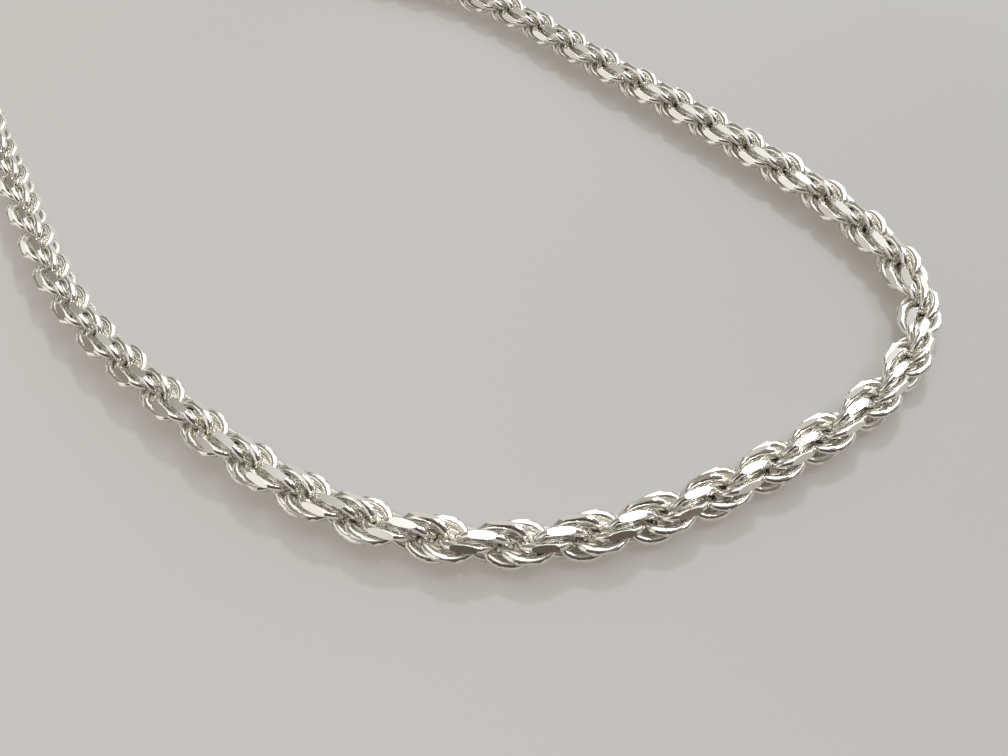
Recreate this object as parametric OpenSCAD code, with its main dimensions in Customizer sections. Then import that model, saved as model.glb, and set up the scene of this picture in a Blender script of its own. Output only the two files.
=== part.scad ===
// Rope chain necklace lying flat in a closed loop.
// X runs to the right and Y away from the front of the loop. The surface it lies on is z = 0.
// The origin is the middle of the loop's outline, on that surface.

/* [Chain] */
// Width across the rope
chain_d = 3.8; // [3:0.1:5.2]
// Flat sides around the rope's outer form
chain_sides = 12; // [8:4:12]
// Rings of the outer form between two points of the route
rings_per_span = 2; // [1:1:2]

/* [End caps] */
// Outside of each end cap's barrel
cap_d = 3.6; // [3:0.1:4.6]
// Length of each barrel
cap_len = 5; // [3.5:0.1:7]
// Radius of the round edge at the barrel's loop end
cap_round = 1.1; // [0.4:0.1:1.4]
// Height of the bead around the barrel's mouth
cap_bead = 0.1; // [0:0.05:0.3]
// Width of that bead along the barrel
cap_bead_w = 0.7; // [0.4:0.1:1.2]
// Wire of the loop soldered to each barrel
loop_wire = 0.85; // [0.6:0.05:1.1]
// Opening of that loop
loop_hole = 2.1; // [2.1:0.05:2.8]
// How deep the loop sits in the end of its barrel
loop_bite = 0.5; // [0.3:0.05:0.6]

/* [Clasp] */
// Wire of the clasp's small tail eye
tail_wire = 1.2; // [0.8:0.05:1.4]
// Opening of the tail eye
tail_hole = 2.4; // [1.8:0.1:3]
// Thickness of the clasp's long ring
clasp_wire = 1.5; // [1:0.05:1.6]
// Width of the opening inside the long ring
clasp_gap_w = 2.8; // [1.8:0.1:4]
// Length of that opening
clasp_gap_l = 6.5; // [4.5:0.1:9]
// Depth to which the eye and the long ring run into each other
clasp_weld = 0.6; // [0.3:0.1:0.8]

/* [Fit] */
// Slack between linked eyes and loops
link_gap = 0.2; // [0.1:0.05:0.3]
// Gap between the rope's end and its cap
seat_gap = 0.1; // [0.05:0.05:0.2]

/* [Hidden] */
$fn = 48;

// Middle of the fastening and the way it points, from the left cap to the right one
clasp_at = [-69, 148];
clasp_turn = -20;
// Straight lead of the rope out of each cap
lead = 10;
// Route of the rope's centreline from the left cap, round the front, to the right cap
route = [
    [-102.5, 151], [-111, 143], [-114.5, 130.5], [-110.5, 118], [-101.5, 107.5], [-91, 100],
    [-81, 93], [-71.5, 84], [-63, 73.5], [-58.5, 62.5], [-52.5, 51.5], [-47, 39.5],
    [-40.5, 28.5], [-32, 19.5], [-23.5, 11], [-13.5, 3.5], [-1.5, -0.5], [11, 1],
    [22, 6], [33.5, 12], [40.5, 22.5], [36.5, 34.5], [29.5, 45], [22, 55.5],
    [14, 65.5], [6.5, 76], [-1.5, 85], [-12, 90.5], [-20.5, 98], [-25.5, 107],
    [-29.5, 118], [-35.5, 128.5]
];

// The loop's and the eyes' centre lines
loop_r = (loop_hole + loop_wire) / 2;
tail_r = (tail_hole + tail_wire) / 2;
long_r = (clasp_gap_w + clasp_wire) / 2;
long_straight = max(clasp_gap_l - clasp_gap_w, 0.1);

// Places along the fastening, measured from the left cap's open face
loop_x = cap_len + loop_r + loop_wire / 2 - loop_bite;
tail_x = loop_x + loop_hole / 2 - link_gap - tail_wire / 2 + tail_r;
long_x0 = tail_x + tail_r + tail_wire / 2 - clasp_weld + clasp_wire / 2 + long_r;
long_x1 = long_x0 + long_straight;
loop_x1 = long_x1 + long_r + loop_hole / 2 - link_gap - clasp_wire / 2;
fastening_len = loop_x1 + loop_x;

// Height of the rope's axis, so that the thickest piece touches the surface
axis_z = max(chain_d, cap_d + 2 * cap_bead, loop_hole + 2 * loop_wire) / 2;

// The route's control points: three in line at each cap, and the chosen ones between
clasp_dir = [cos(clasp_turn), sin(clasp_turn)];
rope_start = clasp_at - (fastening_len / 2 + seat_gap) * clasp_dir;
rope_end = clasp_at + (fastening_len / 2 + seat_gap) * clasp_dir;
control = concat(
    [for (step = [1, 0, -1]) rope_start + step * lead * clasp_dir],
    route,
    [for (step = [1, 0, -1]) rope_end + step * lead * clasp_dir]
);

// A cubic spline's point and its direction, t of the way along the span that starts at i
function spline_point(i, t) = (
    pow(1 - t, 3) * control[i]
    + (3 * pow(t, 3) - 6 * pow(t, 2) + 4) * control[i + 1]
    + (-3 * pow(t, 3) + 3 * pow(t, 2) + 3 * t + 1) * control[i + 2]
    + pow(t, 3) * control[i + 3]) / 6;
function spline_way(i, t) = (
    -pow(1 - t, 2) * control[i]
    + (3 * pow(t, 2) - 4 * t) * control[i + 1]
    + (-3 * pow(t, 2) + 2 * t + 1) * control[i + 2]
    + pow(t, 2) * control[i + 3]) / 2;
function unit(v) = v / norm(v);

// Rings along the rope: a span and a share of it for each
spans = len(control) - 3;
ring_count = spans * rings_per_span + 1;
function ring_span(k) = min(floor(k / rings_per_span), spans - 1);
function ring_share(k) = k / rings_per_span - ring_span(k);

// One ring: a polygon with a flat side down, square to the route
corner_r = chain_d / 2 / cos(180 / chain_sides);
function ring_corner(at, way, j) =
    let (turn = (j + 0.5) * 360 / chain_sides)
    [at.x - way.y * corner_r * sin(turn), at.y + way.x * corner_r * sin(turn),
     axis_z - corner_r * cos(turn)];
rope_points = [for (k = [0 : ring_count - 1], j = [0 : chain_sides - 1])
    ring_corner(spline_point(ring_span(k), ring_share(k)),
        unit(spline_way(ring_span(k), ring_share(k))), j)];
rope_faces = concat(
    [[for (j = [chain_sides - 1 : -1 : 0]) j]],
    [for (k = [0 : ring_count - 2], j = [0 : chain_sides - 1], half = [0, 1])
        let (a = k * chain_sides, b = a + chain_sides, n = (j + 1) % chain_sides)
        half == 0 ? [a + j, a + n, b + n] : [a + j, b + n, b + j]],
    [[for (j = [0 : chain_sides - 1]) (ring_count - 1) * chain_sides + j]]
);

// Middle of the rope's outline
xs = [for (p = rope_points) p.x];
ys = [for (p = rope_points) p.y];
middle = [(min(xs) + max(xs)) / 2, (min(ys) + max(ys)) / 2];

module wire_ring(r, wire) {
    rotate_extrude() translate([r, 0]) circle(d = wire);
}

// A half ring that opens towards -X
module wire_bow(r, wire) {
    rotate([0, 0, -90]) rotate_extrude(angle = 180) translate([r, 0]) circle(d = wire);
}

// Puts a piece drawn along the fastening's own X axis in its place
module in_fastening(x) {
    translate([clasp_at.x - middle.x, clasp_at.y - middle.y, axis_z])
        rotate([0, 0, clasp_turn])
            translate([x - fastening_len / 2, 0, 0])
                children();
}

// Barrel with a beaded mouth at x = 0 and its soldered loop towards +X
module end_cap() {
    rotate([0, 90, 0]) rotate_extrude() union() {
        square([cap_d / 2, cap_len - cap_round]);
        square([cap_d / 2 - cap_round, cap_len]);
        translate([cap_d / 2 - cap_round, cap_len - cap_round]) intersection() {
            circle(r = cap_round);
            square(cap_round);
        }
        square([cap_d / 2 + cap_bead, cap_bead_w]);
    }
    translate([loop_x, 0, 0]) rotate([90, 0, 0]) wire_ring(loop_r, loop_wire);
}

module chain() {
    color([0.80, 0.79, 0.77])
        translate([-middle.x, -middle.y, 0])
            polyhedron(points = rope_points, faces = rope_faces, convexity = 10);
}

module cap_left() {
    color([0.86, 0.85, 0.83]) in_fastening(0) end_cap();
}

module cap_right() {
    color([0.86, 0.85, 0.83]) in_fastening(fastening_len) rotate([0, 0, 180]) end_cap();
}

module clasp() {
    color([0.86, 0.85, 0.83]) in_fastening(0) union() {
        translate([tail_x, 0, 0]) wire_ring(tail_r, tail_wire);
        translate([long_x0, 0, 0]) mirror([1, 0, 0]) wire_bow(long_r, clasp_wire);
        translate([long_x1, 0, 0]) wire_bow(long_r, clasp_wire);
        for (side = [-1, 1])
            translate([long_x0, side * long_r, 0])
                rotate([0, 90, 0]) cylinder(d = clasp_wire, h = long_straight);
    }
}

chain();
cap_left();
cap_right();
clasp();
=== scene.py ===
"""Diamond-cut rope chain necklace in silver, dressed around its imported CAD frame.

The rope is a row of rings along a spline that lies on the surface. Each ring is turned
against the one before it, and flat facets are cut along the outside of the whole rope.
Two end caps and a clasp close the loop. Lengths are in metres, X runs to the right, Y away
from the front of the loop, and the surface is z = 0.
"""

from __future__ import annotations

import logging
import math
from dataclasses import dataclass, field
from enum import Enum

import bpy
import numpy as np
from mathutils import Matrix, Vector


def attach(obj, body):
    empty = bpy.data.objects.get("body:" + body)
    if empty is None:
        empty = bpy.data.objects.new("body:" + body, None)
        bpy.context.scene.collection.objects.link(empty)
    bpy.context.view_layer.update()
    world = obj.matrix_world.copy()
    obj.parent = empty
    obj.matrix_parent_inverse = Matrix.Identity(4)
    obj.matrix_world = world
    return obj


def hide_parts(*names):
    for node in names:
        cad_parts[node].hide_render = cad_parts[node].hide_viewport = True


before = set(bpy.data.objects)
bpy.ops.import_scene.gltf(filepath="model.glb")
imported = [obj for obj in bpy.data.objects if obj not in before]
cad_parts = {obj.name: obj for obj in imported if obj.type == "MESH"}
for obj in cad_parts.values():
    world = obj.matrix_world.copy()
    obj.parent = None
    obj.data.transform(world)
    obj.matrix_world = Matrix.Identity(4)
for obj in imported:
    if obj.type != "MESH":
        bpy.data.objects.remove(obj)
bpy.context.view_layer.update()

log = logging.getLogger("rope_chain")

MM = 0.001
UP = np.array([0.0, 0.0, 1.0])
Colour = tuple[float, float, float]
Place = tuple[float, float, float]
Pair = tuple[float, float]
Socket = bpy.types.NodeSocket
Source = Socket | Colour | float

# Steps of the route in each span, for its lengths and directions and for its outline
FINE_STEPS = 64
OUTLINE_STEPS = 2

# Steps round the caps and the clasp: rings, their wire, and the barrels
RING_ROWS = 48
WIRE_COLUMNS = 14
BARREL_COLUMNS = 48
SHARP_EDGE = math.radians(40.0)

# Axes of a ring: away from the rope's axis, round the rope, and along it
OUT, ROUND, LONG = 0, 1, 2

# Angles from a crown at which its facet's end is looked for, and a small step of such an angle
TRIAL_ANGLES = np.linspace(0.02, 1.5, 150)
SMALL_TURN = 1e-4

# Smallest cut and distance from the axis, in widths of the rope, and smallest face that count
LEAST_CUT = 1e-6
LEAST_RADIUS = 0.01
LEAST_FACE = 1e-12


class Slot(Enum):
    """Material slots of the part's record."""

    ROPE = "rope_silver"
    POLISHED = "polished_silver"


def unit(vectors: np.ndarray) -> np.ndarray:
    """Vectors of length one, along the last axis.

    Args:
        vectors: Any array of vectors.

    Returns:
        The same array with each vector divided by its length.
    """
    return vectors / np.linalg.norm(vectors, axis=-1, keepdims=True)


def signed_power(values: np.ndarray, power: np.ndarray) -> np.ndarray:
    """Power of each value's size, with the value's own sign.

    Args:
        values: Numbers of either sign.
        power: Exponent for each of them.

    Returns:
        sign(value) * |value| ** power.
    """
    return np.sign(values) * np.abs(values) ** power


def closed_grid_faces(rows: int, columns: int, copies: int) -> np.ndarray:
    """Quads of closed grids: each grid wraps round both ways, as a ring's surface does.

    Args:
        rows: Points round the ring.
        columns: Points round the wire's section.
        copies: Number of grids that follow one another in the point list.

    Returns:
        Corner indices, shape (copies * rows * columns, 4).
    """
    row = np.arange(rows)[:, None]
    column = np.arange(columns)[None, :]
    next_row = (row + 1) % rows
    next_column = (column + 1) % columns
    corners = [(row, column), (next_row, column), (next_row, next_column), (row, next_column)]
    quads = np.stack([a * columns + b for a, b in corners], axis=-1).reshape(-1, 4)
    starts = np.arange(copies)[:, None, None] * rows * columns
    return (quads[None] + starts).reshape(-1, 4)


def spun(vectors: np.ndarray, angle: np.ndarray, first: int, second: int) -> np.ndarray:
    """Each ring's vectors turned by its angle, from one axis towards another.

    Args:
        vectors: Vectors of the rings, shape (rings, rows, columns, 3).
        angle: Angle for each ring.
        first: Axis that turns towards the second.
        second: Axis that turns away from the first.

    Returns:
        The turned vectors.
    """
    cos, sin = np.cos(angle)[:, None, None], np.sin(angle)[:, None, None]
    result = vectors.copy()
    result[..., first] = cos * vectors[..., first] - sin * vectors[..., second]
    result[..., second] = sin * vectors[..., first] + cos * vectors[..., second]
    return result


def facet_normals(
    points: np.ndarray, normals: np.ndarray, quads: np.ndarray, on_facet: np.ndarray
) -> tuple[np.ndarray, int]:
    """Shading normals at the corners of quads: the points' own, or the quad's on a facet.

    A quad's own normal is the cross product of its diagonals, made one long.

    Args:
        points: Places, with a last axis of three.
        normals: Unit normals at the points, of the same shape.
        quads: Corner indices, shape (m, 4).
        on_facet: Whether each point lies on a facet.

    Returns:
        Normals, shape (m, 4, 3), and the number of quads that are flat.
    """
    corner = normals.reshape(-1, 3)[quads]
    place = points.reshape(-1, 3)[quads]
    square = np.cross(place[:, 2] - place[:, 0], place[:, 3] - place[:, 1])
    size = np.linalg.norm(square, axis=1)
    is_flat = on_facet.reshape(-1)[quads].all(axis=1) & (size > LEAST_FACE)
    corner[is_flat] = (square[is_flat] / size[is_flat, None])[:, None]
    return corner, int(is_flat.sum())


def linked(name: str, data: bpy.types.ID) -> bpy.types.Object:
    """New object of a mesh, a lamp or a camera, linked to the scene at the origin."""
    holder = bpy.data.objects.new(name, data)
    bpy.context.scene.collection.objects.link(holder)
    return holder


def quad_mesh(
    name: str,
    points: np.ndarray,
    quads: np.ndarray,
    corner_normals: np.ndarray,
    satin_and_shade: np.ndarray,
) -> bpy.types.Object:
    """Mesh object from point and quad arrays, with a shading normal at each corner.

    Args:
        name: Name of the object and of its mesh.
        points: Places, shape (n, 3).
        quads: Corner indices, shape (m, 4).
        corner_normals: Shading normals, shape (m, 4, 3).
        satin_and_shade: How little each point is polished, and how deep its painted shade is, from
            0 to 1, shape (n,).

    Returns:
        The new object, linked to the scene at the origin.
    """
    mesh = bpy.data.meshes.new(name)
    mesh.vertices.add(len(points))
    mesh.vertices.foreach_set("co", points.astype(np.float32).ravel())
    mesh.loops.add(quads.size)
    mesh.loops.foreach_set("vertex_index", quads.astype(np.int32).ravel())
    mesh.polygons.add(len(quads))
    mesh.polygons.foreach_set("loop_start", np.arange(0, quads.size, 4, dtype=np.int32))
    mesh.update(calc_edges=True)
    # Less polish and painted shade at each point, which the finish reads
    layer = mesh.attributes.new("satin_and_shade", "FLOAT", "POINT")
    layer.data.foreach_set("value", satin_and_shade.astype(np.float32).ravel())
    mesh.polygons.foreach_set("use_smooth", np.ones(len(quads), dtype=bool))
    mesh.normals_split_custom_set(corner_normals.reshape(-1, 3).tolist())
    mesh.validate(clean_customdata=False)
    return linked(name, mesh)


@dataclass(frozen=True)
class RopeFrames:
    """Centre of the rope at some places, on the surface, and the directions there."""

    centre: np.ndarray
    left: np.ndarray
    along: np.ndarray

    def turned(self, vectors: np.ndarray) -> np.ndarray:
        """Vectors in the rope's axes, to its left, up and along it, in the frame's axes.

        Args:
            vectors: Vectors at each place, shape (places, rows, columns, 3).

        Returns:
            left * x + up * y + along * z for each vector (x, y, z).
        """
        sideways = vectors[..., :1] * self.left[:, None, None]
        lengthways = vectors[..., 2:] * self.along[:, None, None]
        return sideways + lengthways + vectors[..., 1:2] * UP


@dataclass(frozen=True)
class Route:
    """Centreline of the rope on the surface, from the left cap round the front to the right cap.

    A uniform cubic B-spline: a point t of the way along a span is the blend of four control
    points by (1-t)^3, 3t^3-6t^2+4, -3t^3+3t^2+3t+1 and t^3, all over six.
    """

    rope_width: float = 3.8 * MM
    fastening_at: Pair = (-69.0 * MM, 148.0 * MM)
    fastening_turn: float = math.radians(-20.0)
    fastening_length: float = 25.5 * MM
    seat_gap: float = 0.1 * MM
    lead: float = 10.0 * MM
    points_mm: tuple[Pair, ...] = (
        (-102.5, 151), (-111, 143), (-114.5, 130.5), (-110.5, 118), (-101.5, 107.5), (-91, 100),
        (-81, 93), (-71.5, 84), (-63, 73.5), (-58.5, 62.5), (-52.5, 51.5), (-47, 39.5),
        (-40.5, 28.5), (-32, 19.5), (-23.5, 11), (-13.5, 3.5), (-1.5, -0.5), (11, 1),
        (22, 6), (33.5, 12), (40.5, 22.5), (36.5, 34.5), (29.5, 45), (22, 55.5),
        (14, 65.5), (6.5, 76), (-1.5, 85), (-12, 90.5), (-20.5, 98), (-25.5, 107),
        (-29.5, 118), (-35.5, 128.5),
    )

    def fastening_way(self) -> np.ndarray:
        """Direction of the fastening, from the left cap to the right one."""
        return np.array([math.cos(self.fastening_turn), math.sin(self.fastening_turn)])

    def control(self) -> np.ndarray:
        """Control points: three in line at each cap, and the chosen ones between.

        Returns:
            Places on the surface, shape (n, 2).
        """
        way = self.fastening_way()
        reach = self.fastening_length / 2 + self.seat_gap
        steps = np.array([[1.0], [0.0], [-1.0]]) * self.lead * way
        start = np.array(self.fastening_at) - reach * way
        end = np.array(self.fastening_at) + reach * way
        return np.vstack([start + steps, np.array(self.points_mm) * MM, end + steps])

    def sample(self, per_span: int) -> np.ndarray:
        """Points along the spline, the same number in each span.

        Args:
            per_span: Steps in each span.

        Returns:
            Places on the surface, shape (spans * per_span + 1, 2).
        """
        control = self.control()
        spans = len(control) - 3
        place = np.arange(spans * per_span + 1) / per_span
        span = np.minimum(place.astype(int), spans - 1)
        t = (place - span)[:, None]
        return (
            (1 - t) ** 3 * control[span]
            + (3 * t**3 - 6 * t**2 + 4) * control[span + 1]
            + (-3 * t**3 + 3 * t**2 + 3 * t + 1) * control[span + 2]
            + t**3 * control[span + 3]
        ) / 6

    def middle(self) -> np.ndarray:
        """Middle of the rope's outline, which the frame puts at its origin.

        Returns:
            The middle of the box round both sides of the rope, at two places in each span.
        """
        line = self.sample(OUTLINE_STEPS)
        way = unit(np.gradient(self.sample(FINE_STEPS), axis=0)[:: FINE_STEPS // OUTLINE_STEPS])
        side = np.stack([-way[:, 1], way[:, 0]], axis=1) * self.rope_width / 2
        outline = np.vstack([line + side, line - side])
        return (outline.min(axis=0) + outline.max(axis=0)) / 2

    def length(self) -> float:
        """Length of the centreline."""
        return float(np.linalg.norm(np.diff(self.sample(FINE_STEPS), axis=0), axis=1).sum())

    def frames(self, places: np.ndarray) -> RopeFrames:
        """Centres and directions along the rope.

        Args:
            places: Lengths along the centreline from the left cap.

        Returns:
            The rope's centre and directions at each place, in the frame's own axes.
        """
        line = self.sample(FINE_STEPS) - self.middle()
        length = np.r_[0.0, np.cumsum(np.linalg.norm(np.diff(line, axis=0), axis=1))]
        nothing = np.zeros(len(places))

        def read(values: np.ndarray) -> np.ndarray:
            """Level vectors at the places, read between the points of the line."""
            level = [np.interp(places, length, values[:, k]) for k in (0, 1)]
            return np.stack([*level, nothing], axis=1)

        along = unit(read(unit(np.gradient(line, axis=0))))
        left = np.stack([-along[:, 1], along[:, 0], nothing], axis=1)
        return RopeFrames(read(line), left, along)


@dataclass(frozen=True)
class WireSections:
    """Sections of the rings' wire, and how the plane of each ring's facet meets them.

    A point of a section is middle + half_width * cos(t) * across + half_thick * sin(t) * away.
    The facet's plane n . x = distance meets it at t = facet_at - w and t = facet_at + w. There
    facet_at = atan2(half_thick * n . away, half_width * n . across), and cos(w) = facet_share
    is distance - n . middle, over the length of that pair.
    """

    across: np.ndarray
    middle: np.ndarray
    away: np.ndarray
    half_width: np.ndarray
    half_thick: np.ndarray
    facet_at: np.ndarray
    facet_share: np.ndarray

    def surface(self, t: np.ndarray) -> tuple[np.ndarray, np.ndarray]:
        """Points of the wire's surface and the unit normals there.

        Args:
            t: Angles round each section, shape (rings, rows, columns).

        Returns:
            Points and normals, both (rings, rows, columns, 3).
        """
        cos, sin = np.cos(t)[..., None], np.sin(t)[..., None]
        wide, thick = self.half_width[..., None, None], self.half_thick[..., None, None]
        away = self.away[:, :, None]
        points = self.middle[:, :, None] + wide * cos * self.across + thick * sin * away
        return points, unit(cos / wide * self.across + sin / thick * away)


@dataclass
class RopeChain:
    """The rope: rings threaded close together, each turned a little less than half way round.

    Sizes of a ring are shares of the rope's width. A ring stands nearly in line with the rope.
    Its crown is on the outside of the rope, and is broader than the wire at the rope's core.
    Flat facets are cut along the whole rope, parallel to it, as on a diamond-cut chain, and the
    crown falls away from its facet in a smooth curve.
    """

    route: Route = field(default_factory=Route)
    rings_per_half_turn: int = 9
    # Usual length of a half turn, and the lengths along the rope at which it has made each
    # one: the twist is a little uneven
    half_turn: float = 5.73 * MM
    half_turns_mm: tuple[float, ...] = (
        154.5, 160.5, 166.2, 171.8, 177.6, 183.1, 189.0, 195.2, 201.3, 207.1, 212.9, 219.4, 225.6,
        231.4, 237.0, 242.3, 247.5, 253.0, 258.9, 264.7, 270.1, 275.7, 281.4, 286.9, 292.7, 298.3,
        303.5, 308.7, 314.1, 320.2,
    )
    # Ring 0: how far round its crown is, and how many rings it stands past the first of those
    # lengths. The margin, in widths of the rope, is left free of rings at both ends
    first_turn: float = math.radians(17.0)
    first_place: float = -1.15
    end_margin: float = 0.38
    # A ring: its lean, its middle's distance from the axis, the reach of its crown and its core
    # from there, its half length, and the powers of its outline at the crown and the core
    ring_lean: float = math.radians(2.0)
    ring_offset: float = 0.10
    crown_reach: float = 0.335
    core_reach: float = 0.34
    half_length: float = 0.52
    crown_power: float = 1.9
    core_power: float = 2.0
    # Width and thickness of its wire
    crown_wire: Pair = (0.205, 0.250)
    end_wire: Pair = (0.220, 0.160)
    core_wire: Pair = (0.190, 0.180)
    # Its points: shares of a facet, shares of what lies past it, angles to its core, and sides
    facet_rows: tuple[float, ...] = (0.60, 0.90, 1.0)
    end_rows: tuple[float, ...] = (0.40, 0.76, 0.97)
    core_rows_deg: tuple[float, ...] = (126.0,)
    side_columns: int = 3
    # Facets: how far they lie from the axis, their number, and the least one that is cut
    facet_distance: float = 0.484
    facet_count: int = 8
    least_facet: float = 0.2
    least_spread: float = math.radians(7.0)
    cut_from: float = 0.6
    # Half the angle between the first two columns on plain wire, and where plain wire starts
    plain_spread: float = math.radians(40.0)
    plain_from: float = 1.05
    # The facets roll a little along the rope: lengths in millimetres, and turns in degrees
    facet_roll: tuple[Pair, ...] = ((180, -7), (220, 12), (236, 13), (252, 17), (300, 25))
    # How loosely the rings sit
    roll_play: float = math.radians(1.5)
    rock_play: float = math.radians(1.5)
    play_seed: int = 5
    # How much less polish, and how much painted shade, reach in towards the rope's axis and onto
    # the inner side of the wire
    satin_and_shade_deep: float = 0.9
    satin_and_shade_inside: float = 0.5

    def row_angles(self, facet_end: np.ndarray) -> np.ndarray:
        """Places of each ring's points round it: some on its facet, some past the facet's end.

        Args:
            facet_end: Share of the half length at which each ring's facet ends.

        Returns:
            Angles from the crown, rising from 0 to just under a whole turn, shape
            (rings, rows).
        """
        end = facet_end[:, None]
        on_facet = end * np.array(self.facet_rows)
        past = end + (1 - end) * np.array(self.end_rows)
        crown = np.arcsin(np.hstack([on_facet, past]) ** (self.crown_power / 2))
        core_rows = np.radians(self.core_rows_deg)
        core = np.broadcast_to(core_rows, (len(end), len(core_rows)))
        half = np.hstack([crown, core])
        nothing = np.zeros((len(end), 1))
        return np.hstack([nothing, half, nothing + math.pi, 2 * math.pi - half[:, ::-1]])

    def centre_line(self, angle: np.ndarray) -> np.ndarray:
        """Centre line of one ring in its own axes: outwards, round the rope, along the rope.

        The outward part is offset + reach * cos(angle)^(2/p) and the length part is
        half_length * sin(angle)^(2/p). The reach and p differ between crown and core.

        Args:
            angle: Angles from the crown, any shape.

        Returns:
            Points, with a last axis of three, in shares of the rope's width.
        """
        share = (1 + np.cos(angle)) / 2
        power = 2 / (self.core_power + (self.crown_power - self.core_power) * share)
        reach = np.where(np.cos(angle) > 0, self.crown_reach, self.core_reach)
        out = self.ring_offset + reach * signed_power(np.cos(angle), power)
        long = self.half_length * signed_power(np.sin(angle), power)
        lean = self.ring_lean
        return np.stack([out, math.sin(lean) * long, math.cos(lean) * long], axis=-1)

    def half_sizes(self, angle: np.ndarray) -> tuple[np.ndarray, np.ndarray]:
        """Half width and half thickness of the wire, blended from crown to end to core.

        Args:
            angle: Angles from the crown.

        Returns:
            The two half sizes at each angle, in shares of the rope's width.
        """
        sizes = np.array([self.core_wire, self.end_wire, self.crown_wire]) / 2
        place = np.cos(angle)
        return tuple(np.interp(place, (-1.0, 0.0, 1.0), sizes[:, k]) for k in (0, 1))

    def sections(self, angle: np.ndarray, off: np.ndarray) -> WireSections:
        """Sections of the wire of all rings, each ring in its own axes.

        Args:
            angle: Angles from each ring's crown, shape (rings, rows).
            off: Angle round the rope from the middle of each ring's facet to its crown.

        Returns:
            One section for each angle.
        """
        plane = np.stack([np.cos(off), -np.sin(off), np.zeros(len(off))], axis=1)[:, None]
        across = np.array([0.0, math.cos(self.ring_lean), -math.sin(self.ring_lean)])
        middle = self.centre_line(angle)
        way = unit(self.centre_line(angle + SMALL_TURN) - self.centre_line(angle - SMALL_TURN))
        away = unit(np.cross(across, way))
        half_width, half_thick = self.half_sizes(angle)
        reach_across = half_width * (plane @ across)
        reach_away = half_thick * (plane * away).sum(axis=-1)
        to_plane = self.facet_distance - (plane * middle).sum(axis=-1)
        facet_at = np.arctan2(reach_away, reach_across)
        facet_share = to_plane / np.hypot(reach_across, reach_away)
        return WireSections(
            across, middle, away, half_width, half_thick, facet_at, facet_share
        )

    def facet_ends(self, off: np.ndarray) -> np.ndarray:
        """How far each ring's facet runs along its crown, until it would be too narrow.

        Args:
            off: Angle round the rope from the middle of each ring's facet to its crown.

        Returns:
            Shares of the half length, one for each ring.
        """
        trial = np.broadcast_to(TRIAL_ANGLES, (len(off), len(TRIAL_ANGLES)))
        too_narrow = self.sections(trial, off).facet_share > math.cos(self.least_spread)
        end_angle = TRIAL_ANGLES[np.argmax(too_narrow, axis=1)]
        return np.maximum(np.sin(end_angle) ** (2 / self.crown_power), self.least_facet)

    def rings(
        self, turn: np.ndarray, facet_turn: np.ndarray
    ) -> tuple[np.ndarray, np.ndarray, np.ndarray]:
        """Surfaces of all rings, each in its own axes, with its main facet cut.

        The first two columns of a section are the facet's edges, or stand close together on a
        crown that just misses its plane, and further apart on plain wire. The others share
        what is left of the section.

        Args:
            turn: Angle of each ring's crown round the rope.
            facet_turn: Angle of the first facet round the rope, at each ring.

        Returns:
            Points and unit normals, both (rings, rows, columns, 3), and whether each point lies
            on the facet, shape (rings, rows, columns).
        """
        step = 2 * math.pi / self.facet_count
        off = (turn - facet_turn + step / 2) % step - step / 2
        wire = self.sections(self.row_angles(self.facet_ends(off)), off)
        spread = np.arccos(np.clip(wire.facet_share, -1, 1))
        is_cut = spread > self.cut_from * self.least_spread
        is_near = wire.facet_share < self.plain_from
        uncut = np.where(is_near, self.least_spread, self.plain_spread)
        spread = np.where(is_cut, spread, uncut)[..., None]
        parts = np.arange(1, self.side_columns + 1) / (self.side_columns + 1)
        sides = spread + (2 * math.pi - 2 * spread) * parts
        t = np.concatenate([-spread, spread, sides], axis=-1) + wire.facet_at[..., None]
        points, normals = wire.surface(t)
        on_facet = np.zeros(t.shape, dtype=bool)
        on_facet[..., :2] = is_cut[..., None]
        return points, normals, on_facet

    def cut(self, points: np.ndarray, facet_turn: np.ndarray) -> tuple[np.ndarray, np.ndarray]:
        """Points that still lie beyond a facet's plane, moved straight back to it.

        Args:
            points: Places in the rope's axes: to its left, up, along it, a ring at a time.
            facet_turn: Angle of the first facet round the rope, at each ring.

        Returns:
            The places after the cut, and whether each lay beyond a facet's plane.
        """
        step = 2 * math.pi / self.facet_count
        first = facet_turn[:, None, None]
        place = np.arctan2(points[..., 1], points[..., 0])
        nearest = first + np.round((place - first) / step) * step
        plane = np.stack([np.cos(nearest), np.sin(nearest), np.zeros(nearest.shape)], axis=-1)
        beyond = (points * plane).sum(axis=-1) - self.facet_distance
        return points - np.maximum(beyond, 0.0)[..., None] * plane, beyond > LEAST_CUT

    def satin_and_shade(self, points: np.ndarray, facing: np.ndarray) -> np.ndarray:
        """How little each point is polished, and how deep its painted shade: more towards the axis
        and inwards.

        Args:
            points: Places in the rope's axes: to its left, up, along it.
            facing: Unit normals there, in the same axes.

        Returns:
            Numbers from 0 to 1.
        """
        radius = np.hypot(points[..., 0], points[..., 1])
        outward = (facing[..., :2] * points[..., :2]).sum(axis=-1)
        outward /= np.maximum(radius, LEAST_RADIUS)
        # Less polish and painted shade: deeper towards the rope's axis, and more on the wire's
        # inner side
        satin_and_shade = self.satin_and_shade_deep * (1 - radius / self.facet_distance)
        return np.clip(satin_and_shade + self.satin_and_shade_inside * np.clip(-outward, 0, 1), 0, 1)

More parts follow.
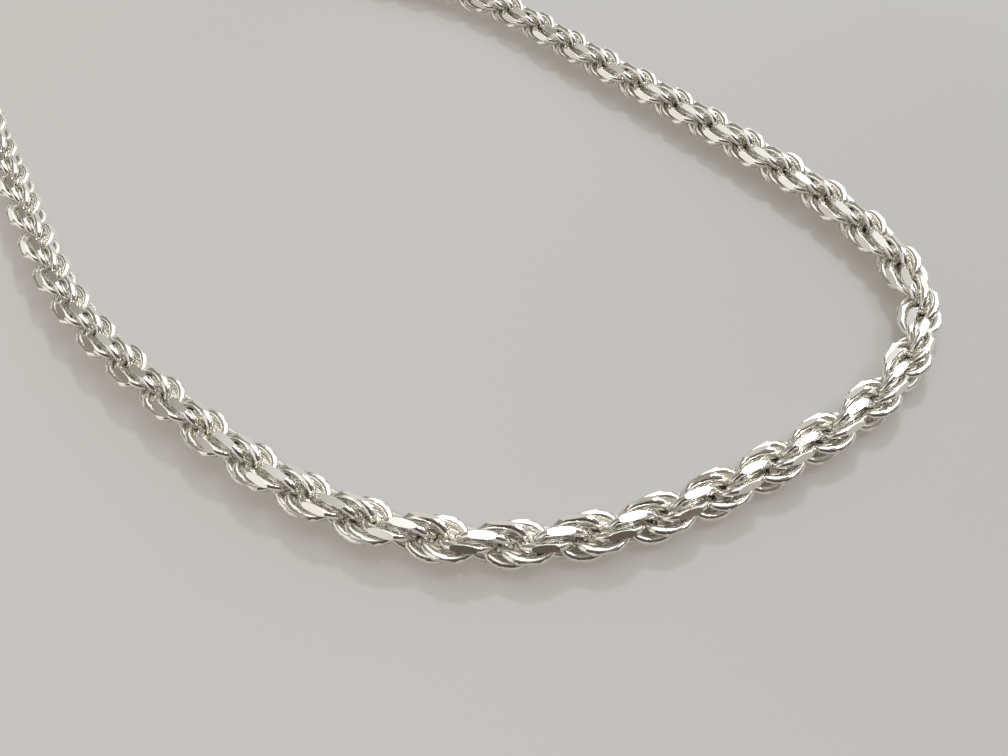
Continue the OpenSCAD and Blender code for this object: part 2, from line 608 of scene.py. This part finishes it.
    def ring_places(self) -> tuple[np.ndarray, np.ndarray]:
        """Numbers of the rings and their lengths along the rope.

        Between two marked half turns the rings are evenly spaced, and outside the marks they
        keep the usual spacing. Ring 0 stands first_place rings past the first mark.

        Returns:
            Whole numbers, and lengths in metres, each of shape (n,).
        """
        marks = np.array(self.half_turns_mm) * MM
        margin = self.end_margin * self.route.rope_width
        length = self.route.length()
        before = math.ceil((marks[0] - margin) / self.half_turn)
        after = math.ceil((length - margin - marks[-1]) / self.half_turn)
        plain_before = marks[0] - np.arange(before, 0, -1) * self.half_turn
        plain_after = marks[-1] + np.arange(1, after + 1) * self.half_turn
        every = np.concatenate([plain_before, marks, plain_after])
        half_turn = np.arange(-before, len(marks) + after)
        last = half_turn[-1] * self.rings_per_half_turn
        number = np.arange(-before * self.rings_per_half_turn, last)
        at = (number + self.first_place) / self.rings_per_half_turn
        places = np.interp(at, half_turn, every)
        inside = (places >= margin) & (places <= length - margin)
        return number[inside], places[inside]

    def build(self) -> bpy.types.Object:
        """All rings along the route as one mesh.

        Returns:
            The rope's object.
        """
        number, places = self.ring_places()
        count = len(number)
        turn = number * (math.pi - math.pi / self.rings_per_half_turn) + self.first_turn
        roll_at, roll = np.array(self.facet_roll).T
        facet_turn = np.radians(np.interp(places / MM, roll_at, roll))
        points, normals, on_facet = self.rings(turn, facet_turn)
        play = np.random.default_rng(self.play_seed).uniform(-1.0, 1.0, (2, count))
        rock = play[0] * self.rock_play
        loose = turn + play[1] * self.roll_play

        def settled(ring: np.ndarray) -> np.ndarray:
            """The rings' vectors in the rope's axes, each ring rocked and turned."""
            return spun(spun(ring, rock, OUT, LONG), loose, OUT, ROUND)

        uncut = spun(points, turn, OUT, ROUND)
        shape, beyond = self.cut(uncut, facet_turn)
        shape = settled(spun(np.where(on_facet[..., None], uncut, shape), -turn, OUT, ROUND))
        facing = settled(normals)
        frames = self.route.frames(places)
        width = self.route.rope_width
        world = frames.turned(shape) * width + frames.centre[:, None, None] + width / 2 * UP
        quads = closed_grid_faces(*points.shape[1:3], count)
        corners, flat = facet_normals(world, frames.turned(facing), quads, on_facet | beyond)
        log.info("rope: %d rings, %d quads, %d of them flat", count, len(quads), flat)
        return quad_mesh("rope", world.reshape(-1, 3), quads, corners, self.satin_and_shade(shape, facing))


def round_wire(
    at: float, straight: float, radius: float, wire: float, upright: bool = False
) -> np.ndarray:
    """Surface of a closed ring of round wire, round or with two straight sides.

    The centre line is at + straight / 2 * sign(cos a) along the fastening, plus the radius
    times (cos a, sin a). The wire stands half its width out from that line, by cos t in the
    ring's plane and by sin t square to it.

    Args:
        at: Middle of the ring along the fastening, from the left cap's mouth.
        straight: Length of each straight side.
        radius: Radius of the centre line at its round ends.
        wire: Width of the wire.
        upright: Whether the ring stands up instead of lying flat.

    Returns:
        Points along the fastening, across it and up, shape (RING_ROWS, WIRE_COLUMNS, 3).
    """
    half = RING_ROWS // 2
    bow = (np.arange(half) + 0.5) / half * math.pi - math.pi / 2
    angle = np.concatenate([bow, bow + math.pi])[:, None]
    t = np.arange(WIRE_COLUMNS) / WIRE_COLUMNS * 2 * math.pi
    reach = radius + wire / 2 * np.cos(t)
    long = at + straight / 2 * np.sign(np.cos(angle)) + reach * np.cos(angle)
    across = reach * np.sin(angle)
    above = np.broadcast_to(wire / 2 * np.sin(t), across.shape)
    if upright:
        return np.stack([long, -above, across], axis=-1)
    return np.stack([long, across, above], axis=-1)


@dataclass(frozen=True)
class Fastening:
    """Place of the caps and the clasp: in line, at the height of the rope's axis."""

    route: Route = field(default_factory=Route)
    height: float = 1.9 * MM

    def placed(self, points: np.ndarray, from_right: bool = False) -> np.ndarray:
        """Points of the fastening in the frame's axes.

        Args:
            points: Places along the fastening, across it and up, with a last axis of three.
            from_right: Whether they count from the right cap's mouth, as seen from there.

        Returns:
            The same places in the frame.
        """
        way = self.route.fastening_way() * (-1.0 if from_right else 1.0)
        side = np.array([-way[1], way[0]])
        long = points[..., :1] - self.route.fastening_length / 2
        flat = np.array(self.route.fastening_at) - self.route.middle()
        flat = flat + long * way + points[..., 1:2] * side
        return np.concatenate([flat, points[..., 2:] + self.height], axis=-1)


def smooth_mesh(name: str, shells: list[np.ndarray], is_tube: list[bool]) -> bpy.types.Object:
    """Mesh object of closed shells, smooth but for its sharp edges.

    Args:
        name: Name of the object and of its mesh.
        shells: Grids of points, each (rows, columns, 3), that wrap round along their columns.
        is_tube: Whether each grid's rows wrap round too, instead of ending in two flat discs.

    Returns:
        The new object, linked to the scene at the origin.
    """
    points = np.concatenate([shell.reshape(-1, 3) for shell in shells])
    faces: list[list[int]] = []
    start = 0
    for shell, wraps in zip(shells, is_tube):
        rows, columns = shell.shape[:2]
        quads = closed_grid_faces(rows, columns, 1) + start
        faces += (quads if wraps else quads[:-columns]).tolist()
        if not wraps:
            first = np.arange(columns) + start
            faces += [first.tolist(), (first[::-1] + (rows - 1) * columns).tolist()]
        start += rows * columns
    mesh = bpy.data.meshes.new(name)
    mesh.from_pydata(points.tolist(), [], faces)
    mesh.polygons.foreach_set("use_smooth", np.ones(len(faces), dtype=bool))
    mesh.set_sharp_from_angle(angle=SHARP_EDGE)
    return linked(name, mesh)


@dataclass(frozen=True)
class EndCap:
    """Barrel on an end of the rope, with a beaded mouth and a soldered loop."""

    fastening: Fastening = field(default_factory=Fastening)
    width: float = 3.6 * MM
    length: float = 5.0 * MM
    edge_round: float = 1.1 * MM
    edge_steps: int = 10
    bead: float = 0.1 * MM
    bead_width: float = 0.7 * MM
    bead_steps: int = 8
    wall: float = 0.25 * MM
    mouth_depth: float = 0.5 * MM
    groove: float = 0.05 * MM
    groove_at: float = 1.1 * MM
    loop_at: float = 6.4 * MM
    loop_radius: float = 1.475 * MM
    loop_wire: float = 0.85 * MM

    def barrel(self) -> np.ndarray:
        """The barrel's surface, a profile turned round the fastening's line.

        The profile runs out of the mouth, over a half-wave bead, past a fine groove, along
        the barrel and round a quarter circle to the flat end.

        Returns:
            Points along the fastening, across it and up, shape (rows, columns, 3).
        """
        radius = self.width / 2
        wave = np.linspace(0, math.pi, self.bead_steps)
        turn = np.linspace(0, math.pi / 2, self.edge_steps)
        round_at = self.length - self.edge_round
        groove = np.array([-2.0, -1.0, 0.0, 1.0, 2.0]) * self.groove
        long = np.concatenate([
            [self.mouth_depth, 0.0],
            self.bead_width * wave / math.pi,
            self.groove_at + groove,
            round_at + self.edge_round * np.sin(turn),
        ])
        out = np.concatenate([
            [radius - self.wall, radius - self.wall],
            radius + self.bead * np.sin(wave),
            radius - self.groove * (1 - np.abs(groove) / (2 * self.groove)),
            radius - self.edge_round * (1 - np.cos(turn)),
        ])[:, None]
        t = np.arange(BARREL_COLUMNS) / BARREL_COLUMNS * 2 * math.pi
        along = np.broadcast_to(long[:, None], (len(long), BARREL_COLUMNS))
        return np.stack([along, out * np.cos(t), -out * np.sin(t)], axis=-1)

    def build(self, name: str, from_right: bool) -> bpy.types.Object:
        """The barrel and its loop as one mesh.

        Args:
            name: Name of the piece.
            from_right: Whether this is the cap on the rope's right end.

        Returns:
            The cap's object.
        """
        loop = round_wire(self.loop_at, 0.0, self.loop_radius, self.loop_wire, upright=True)
        shells = [self.fastening.placed(shell, from_right) for shell in (self.barrel(), loop)]
        return smooth_mesh(name, shells, [False, True])


@dataclass(frozen=True)
class Clasp:
    """Long ring with a small tail eye, both of round wire, lying flat."""

    fastening: Fastening = field(default_factory=Fastening)
    eye_at: float = 8.45 * MM
    eye_radius: float = 1.8 * MM
    eye_wire: float = 1.2 * MM
    ring_at: float = 15.0 * MM
    ring_straight: float = 3.7 * MM
    ring_radius: float = 2.15 * MM
    ring_wire: float = 1.5 * MM

    def build(self, name: str) -> bpy.types.Object:
        """The eye and the long ring as one mesh.

        Args:
            name: Name of the piece.

        Returns:
            The clasp's object.
        """
        eye = round_wire(self.eye_at, 0.0, self.eye_radius, self.eye_wire)
        ring = round_wire(self.ring_at, self.ring_straight, self.ring_radius, self.ring_wire)
        shells = [self.fastening.placed(shell) for shell in (eye, ring)]
        return smooth_mesh(name, shells, [True, True])


@dataclass(frozen=True)
class NodeMaker:
    """Adds nodes to one node tree, each with what feeds it."""

    tree: bpy.types.NodeTree

    def feed(self, node: bpy.types.Node, inputs: dict[str | int, Source]) -> None:
        """Sets some inputs of a node.

        Args:
            node: Any node of the tree.
            inputs: A number, a colour or another node's output for each input, by its name or
                its number.
        """
        for name, source in inputs.items():
            socket = node.inputs[name]
            if isinstance(source, Socket):
                self.tree.links.new(source, socket)
            elif socket.type == "RGBA":
                socket.default_value = (*source, 1.0)
            else:
                socket.default_value = source

    def add(
        self, kind: str, inputs: dict[str | int, Source], **settings: object
    ) -> bpy.types.NodeOutputs:
        """Adds a node.

        Args:
            kind: Type of the node.
            inputs: What feeds its inputs.
            settings: Its other settings, such as its operation.

        Returns:
            The node's outputs.
        """
        node = self.tree.nodes.new(kind)
        for name, value in settings.items():
            setattr(node, name, value)
        self.feed(node, inputs)
        return node.outputs

    def share(self, source: Socket, ends: Pair, is_soft: bool = False) -> Socket:
        """Share of the way from one value to another, from 0 to 1.

        Args:
            source: The value.
            ends: Values at which the share is 0 and 1.
            is_soft: Whether it starts and ends slowly.

        Returns:
            The share.
        """
        kind = "SMOOTHSTEP" if is_soft else "LINEAR"
        inputs = {"Value": source, "From Min": ends[0], "From Max": ends[1]}
        return self.add("ShaderNodeMapRange", inputs, interpolation_type=kind)["Result"]

    def between(self, share: Socket, ends: Pair) -> Socket:
        """The value at a share of the way between two values."""
        inputs = {"Value": share, "To Min": ends[0], "To Max": ends[1]}
        return self.add("ShaderNodeMapRange", inputs)["Result"]

    def maths(self, kind: str, *sources: Socket | float, clamp: bool = False) -> Socket:
        """One sum on numbers and on other nodes' values.

        Args:
            kind: Operation of the node.
            sources: What it works on, in order.
            clamp: Whether the result is kept from 0 to 1.

        Returns:
            The result.
        """
        inputs = dict(enumerate(sources))
        return self.add("ShaderNodeMath", inputs, operation=kind, use_clamp=clamp)["Value"]

    def mixed(self, factor: Socket, low: Source, high: Source) -> Socket:
        """A blend of two colours, each a plain one or another node's."""
        inputs = {"Factor": factor, "A": low, "B": high}
        return self.add("ShaderNodeMix", inputs, data_type="RGBA")["Result"]


@dataclass(frozen=True)
class FineMarks:
    """Fine marks that handling leaves on silver, a node group that its finishes share.

    Short hair lines come from a noise drawn out along one axis, and a broader noise changes
    the roughness from place to place. Both read Object coordinates.
    """

    line_turn: Place = (0.5, 0.3, 0.6)
    line_stretch: Place = (1.0, 0.12, 1.0)
    line_detail: float = 3.0
    cloud_scale: float = 260.0
    cloud_detail: float = 2.0
    cloud_mean: float = 0.5
    # Names of the group's inputs, and what they are where a finish leaves them alone
    inputs: tuple[tuple[str, float], ...] = (
        ("Roughness", 0.1), ("Spread", 0.3), ("Fineness", 1500.0), ("Depth", 0.5),
    )

    def make(self) -> bpy.types.NodeTree:
        """The marks as a node group.

        The height is line * depth, and the roughness is given * (1 + spread * (cloud - mean)).

        Returns:
            The group, with inputs Roughness, Spread, Fineness and Depth, and outputs Roughness
            and Height.
        """
        group = bpy.data.node_groups.new("fine_marks", "ShaderNodeTree")
        for name, value in self.inputs:
            socket = group.interface.new_socket(name, in_out="INPUT", socket_type="NodeSocketFloat")
            socket.default_value = value
        for name in ("Roughness", "Height"):
            group.interface.new_socket(name, in_out="OUTPUT", socket_type="NodeSocketFloat")
        maker = NodeMaker(group)
        given = maker.add("NodeGroupInput", {})
        place = maker.add("ShaderNodeTexCoord", {})["Object"]
        turned = {"Vector": place, "Rotation": self.line_turn, "Scale": self.line_stretch}
        drawn_out = maker.add("ShaderNodeMapping", turned)["Vector"]
        lines = {"Vector": drawn_out, "Scale": given["Fineness"], "Detail": self.line_detail}
        line = maker.add("ShaderNodeTexNoise", lines)["Fac"]
        clouds = {"Vector": place, "Scale": self.cloud_scale, "Detail": self.cloud_detail}
        cloud = maker.add("ShaderNodeTexNoise", clouds)["Fac"]
        about_nothing = maker.maths("SUBTRACT", cloud, self.cloud_mean)
        about_one = maker.maths("MULTIPLY_ADD", about_nothing, given["Spread"], 1.0)
        rough = maker.maths("MULTIPLY", about_one, given["Roughness"], clamp=True)
        height = maker.maths("MULTIPLY", line, given["Depth"])
        maker.add("NodeGroupOutput", {"Roughness": rough, "Height": height})
        return group


@dataclass(frozen=True)
class SilverFinish:
    """Bright silver with fine marks, rougher where less polish reaches, where painted shade makes
    it warmer and darker.
    """

    name: str
    marks: bpy.types.NodeTree
    bright: Colour = (0.95, 0.935, 0.905)
    # Painted shade: the warmer, a little darker colour where less polish reaches, in the rope's
    # recesses
    dull_and_shade: Colour = (0.92, 0.89, 0.81)
    roughness: float = 0.065
    dull_roughness: float = 0.45
    dull_and_shade_ends: Pair = (0.22, 0.66)
    spread: float = 0.5
    fineness: float = 1800.0
    mark_depth: float = 0.5
    mark_strength: float = 0.05
    mark_distance: float = 0.02 * MM
    reads_satin_and_shade: bool = True

    def make(self) -> bpy.types.Material:
        """The finish as a material.

        Returns:
            The new material.
        """
        material = bpy.data.materials.new(self.name)
        material.use_nodes = True
        shader = material.node_tree.nodes["Principled BSDF"]
        marks = material.node_tree.nodes.new("ShaderNodeGroup")
        marks.node_tree = self.marks
        maker = NodeMaker(material.node_tree)
        maker.feed(marks, {
            "Roughness": self.roughness,
            "Spread": self.spread,
            "Fineness": self.fineness,
            "Depth": self.mark_depth,
        })
        bump = maker.add("ShaderNodeBump", {
            "Strength": self.mark_strength,
            "Distance": self.mark_distance,
            "Height": marks.outputs["Height"],
        })
        maker.feed(shader, {
            "Base Color": self.bright,
            "Metallic": 1.0,
            "Roughness": marks.outputs["Roughness"],
            "Normal": bump["Normal"],
        })
        # Less polish makes it rougher, and painted shade makes its colour warmer and darker,
        # towards the rope's axis and inner sides
        if self.reads_satin_and_shade:
            satin_and_shade = maker.add("ShaderNodeAttribute", {}, attribute_name="satin_and_shade")["Fac"]
            dullness_and_shade = maker.share(satin_and_shade, self.dull_and_shade_ends)
            rough = maker.between(dullness_and_shade, (self.roughness, self.dull_roughness))
            maker.feed(marks, {"Roughness": rough})
            maker.feed(shader, {"Base Color": maker.mixed(dullness_and_shade, self.bright, self.dull_and_shade)})
        return material


@dataclass(frozen=True)
class Softbox:
    """A rectangular lamp that points at a place on the surface, mirrored in the metal or not."""

    name: str
    place: Place
    size: Pair
    power: float
    colour: Colour = (1.0, 1.0, 1.0)
    aim: Place = (0.03, -0.03, 0.0)
    mirrored: bool = True

    def build(self) -> None:
        """Adds the lamp to the scene."""
        lamp = bpy.data.lights.new(self.name, "AREA")
        lamp.shape = "RECTANGLE"
        lamp.size, lamp.size_y = self.size
        lamp.energy = self.power
        lamp.color = self.colour
        holder = linked(self.name, lamp)
        holder.visible_camera = False
        holder.visible_glossy = self.mirrored
        holder.location = self.place
        way = Vector(self.aim) - Vector(self.place)
        holder.rotation_euler = way.to_track_quat("-Z", "Y").to_euler()


@dataclass(frozen=True)
class Room:
    """Light that surrounds the scene: a broad window at the back and the right, and a dim room.

    Each part of the room is lit by its own share of the directions, and every share is a soft
    step on a direction's X, Y or Z part, or on a sum of them. The window's left edge leans, the
    far side is bright low down, the left side is bright low down and towards the front, and the
    near side is dark.
    """

    window: Colour = (1.30, 1.32, 1.28)
    window_lean: float = 0.45
    window_left: Pair = (-0.05, 0.32)
    window_right: Pair = (0.99, 0.88)
    window_front: Pair = (0.02, 0.13)
    window_foot: Pair = (0.08, 0.34)
    walls: Colour = (0.26, 0.24, 0.21)
    left_side: Colour = (0.88, 0.86, 0.80)
    left_from: Pair = (-0.35, -0.70)
    left_top: Pair = (0.20, 0.06)
    left_back: Pair = (-0.02, -0.30)
    far_side: Colour = (0.60, 0.58, 0.54)
    far_from: Pair = (0.45, 0.75)
    far_top: Pair = (0.34, 0.10)
    near_side: Colour = (0.15, 0.115, 0.09)
    near_ceiling: Colour = (0.08, 0.07, 0.06)
    near_from: Pair = (-0.35, -0.75)
    near_left: Pair = (-0.72, -0.45)
    near_top: Pair = (0.02, 0.20)

    def build(self) -> None:
        """Makes the surrounding light and gives it to the scene."""
        world = bpy.data.worlds.new("room")
        bpy.context.scene.world = world
        world.use_nodes = True
        maker = NodeMaker(world.node_tree)
        way = maker.add("ShaderNodeTexCoord", {})["Generated"]
        parts = maker.add("ShaderNodeSeparateXYZ", {"Vector": way})
        across, away, height = (parts[axis] for axis in "XYZ")

        def step(source: Socket, ends: Pair) -> Socket:
            """A soft step from 0 at the first end to 1 at the second."""
            return maker.share(source, ends, is_soft=True)

        def both(one: Socket, other: Socket) -> Socket:
            """The product of two shares."""
            return maker.maths("MULTIPLY", one, other)

        left_low = maker.maths("MAXIMUM", step(height, self.left_top), step(away, self.left_back))
        left = both(left_low, step(across, self.left_from))
        far = both(step(height, self.far_top), step(away, self.far_from))
        near = both(step(away, self.near_from), step(across, self.near_left))
        near_side = maker.mixed(step(height, self.near_top), self.near_side, self.near_ceiling)
        leaning = maker.maths("MULTIPLY_ADD", height, self.window_lean, across)
        width = both(step(leaning, self.window_left), step(across, self.window_right))
        depth = both(step(away, self.window_front), step(height, self.window_foot))
        room = maker.mixed(left, self.walls, self.left_side)
        room = maker.mixed(far, room, self.far_side)
        room = maker.mixed(near, room, near_side)
        room = maker.mixed(both(width, depth), room, self.window)
        maker.feed(world.node_tree.nodes["Background"], {"Color": room})


@dataclass
class Studio:
    """Pale floor, soft lamps, surrounding light and the camera."""

    floor_size: float = 2.4
    floor_colour: Colour = (0.215, 0.236, 0.250)
    floor_roughness: float = 0.22
    floor_ior: float = 1.27
    # Painted light on the floor: its glow, brighter on the left and fading to the right
    glow_left: Colour = (0.343, 0.303, 0.274)
    glow_right: Colour = (0.226, 0.194, 0.166)
    glow_ends: Pair = (-60.0 * MM, 90.0 * MM)
    glow_lean: float = 0.22
    room: Room = field(default_factory=Room)
    lamps: tuple[Softbox, ...] = (
        Softbox("window_lamp", (0.59, -0.05, 0.76), (0.36, 0.18), 2.3, (1.0, 0.97, 0.94)),
        Softbox("overhead", (0.04, -0.075, 0.35), (0.26, 0.15), 0.15, aim=(0.04, -0.075, 0.0)),
        Softbox("back_light", (0.30, 0.55, 0.74), (0.10, 0.08), 4.1, mirrored=False),
    )
    focal_px: float = 1000.0
    frame_width_px: int = 1008
    sensor_mm: float = 36.0
    camera_at: Place = (37.24 * MM, -117.39 * MM, 70.4 * MM)
    camera_down: float = math.radians(50.1)
    camera_roll: float = math.radians(-4.6)
    camera_clip: float = 1.0 * MM

    def build_floor(self) -> None:
        """Adds the floor, a plain pale sheet with a slight gloss.

        Its own glow is painted light: it stands for light from all round, which keeps the shade
        beside the rope pale, and it falls off to the right, where the floor mirrors more of the
        window.
        """
        half = self.floor_size / 2
        corners = [(-half, -half, 0), (half, -half, 0), (half, half, 0), (-half, half, 0)]
        mesh = bpy.data.meshes.new("floor")
        mesh.from_pydata(corners, [], [(0, 1, 2, 3)])
        material = bpy.data.materials.new("pale_surface")
        material.use_nodes = True
        maker = NodeMaker(material.node_tree)
        place = maker.add("ShaderNodeTexCoord", {})["Object"]
        parts = maker.add("ShaderNodeSeparateXYZ", {"Vector": place})
        leaning = maker.maths("MULTIPLY_ADD", parts["Y"], self.glow_lean, parts["X"])
        share = maker.share(leaning, self.glow_ends)
        maker.feed(material.node_tree.nodes["Principled BSDF"], {
            "Base Color": self.floor_colour,
            "Roughness": self.floor_roughness,
            "IOR": self.floor_ior,
            "Emission Color": maker.mixed(share, self.glow_left, self.glow_right),
            "Emission Strength": 1.0,
        })
        mesh.materials.append(material)
        linked("floor", mesh)

    def build_camera(self) -> None:
        """Adds the camera at the photograph's view."""
        down, roll = self.camera_down, self.camera_roll
        right = (math.cos(roll), math.sin(roll) * math.sin(down), math.sin(roll) * math.cos(down))
        up = (-math.sin(roll), math.cos(roll) * math.sin(down), math.cos(roll) * math.cos(down))
        back = (0.0, -math.cos(down), math.sin(down))
        camera = bpy.data.cameras.new("camera")
        camera.sensor_width = self.sensor_mm
        camera.lens = self.sensor_mm * self.focal_px / self.frame_width_px
        camera.clip_start = self.camera_clip
        holder = linked("camera", camera)
        turn = Matrix((right, up, back)).transposed().to_4x4()
        holder.matrix_world = Matrix.Translation(self.camera_at) @ turn
        bpy.context.scene.camera = holder

    def build(self) -> None:
        """Builds the whole studio."""
        self.build_floor()
        for lamp in self.lamps:
            lamp.build()
        self.room.build()
        self.build_camera()
        bpy.context.scene.view_settings.view_transform = "Standard"


def dress(piece: bpy.types.Object, node: str, finish: bpy.types.Material) -> None:
    """Gives a piece its finish and ties it to the frame in place of its node.

    Args:
        piece: The finished piece.
        node: Node of the frame that it stands for.
        finish: The material.
    """
    piece.data.materials.append(finish)
    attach(piece, "root")
    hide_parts(node)
    log.info("%s: %d faces", piece.name, len(piece.data.polygons))


def main() -> None:
    """Builds the rope, the caps and the clasp, dresses them and sets the studio."""
    logging.basicConfig(level=logging.INFO, format="%(name)s: %(message)s")
    marks = FineMarks().make()
    rope_finish = SilverFinish("rope_silver_finish", marks).make()
    plain_finish = SilverFinish(
        "polished_silver_finish", marks, fineness=900.0, mark_depth=1.0, reads_satin_and_shade=False
    ).make()
    dress(RopeChain().build(), "chain", rope_finish)
    dress(EndCap().build("left_cap", from_right=False), "cap_left", plain_finish)
    dress(EndCap().build("right_cap", from_right=True), "cap_right", plain_finish)
    dress(Clasp().build("ring_clasp"), "clasp", plain_finish)
    Studio().build()
    log.info("studio: ready")


if __name__ == "__main__":
    main()
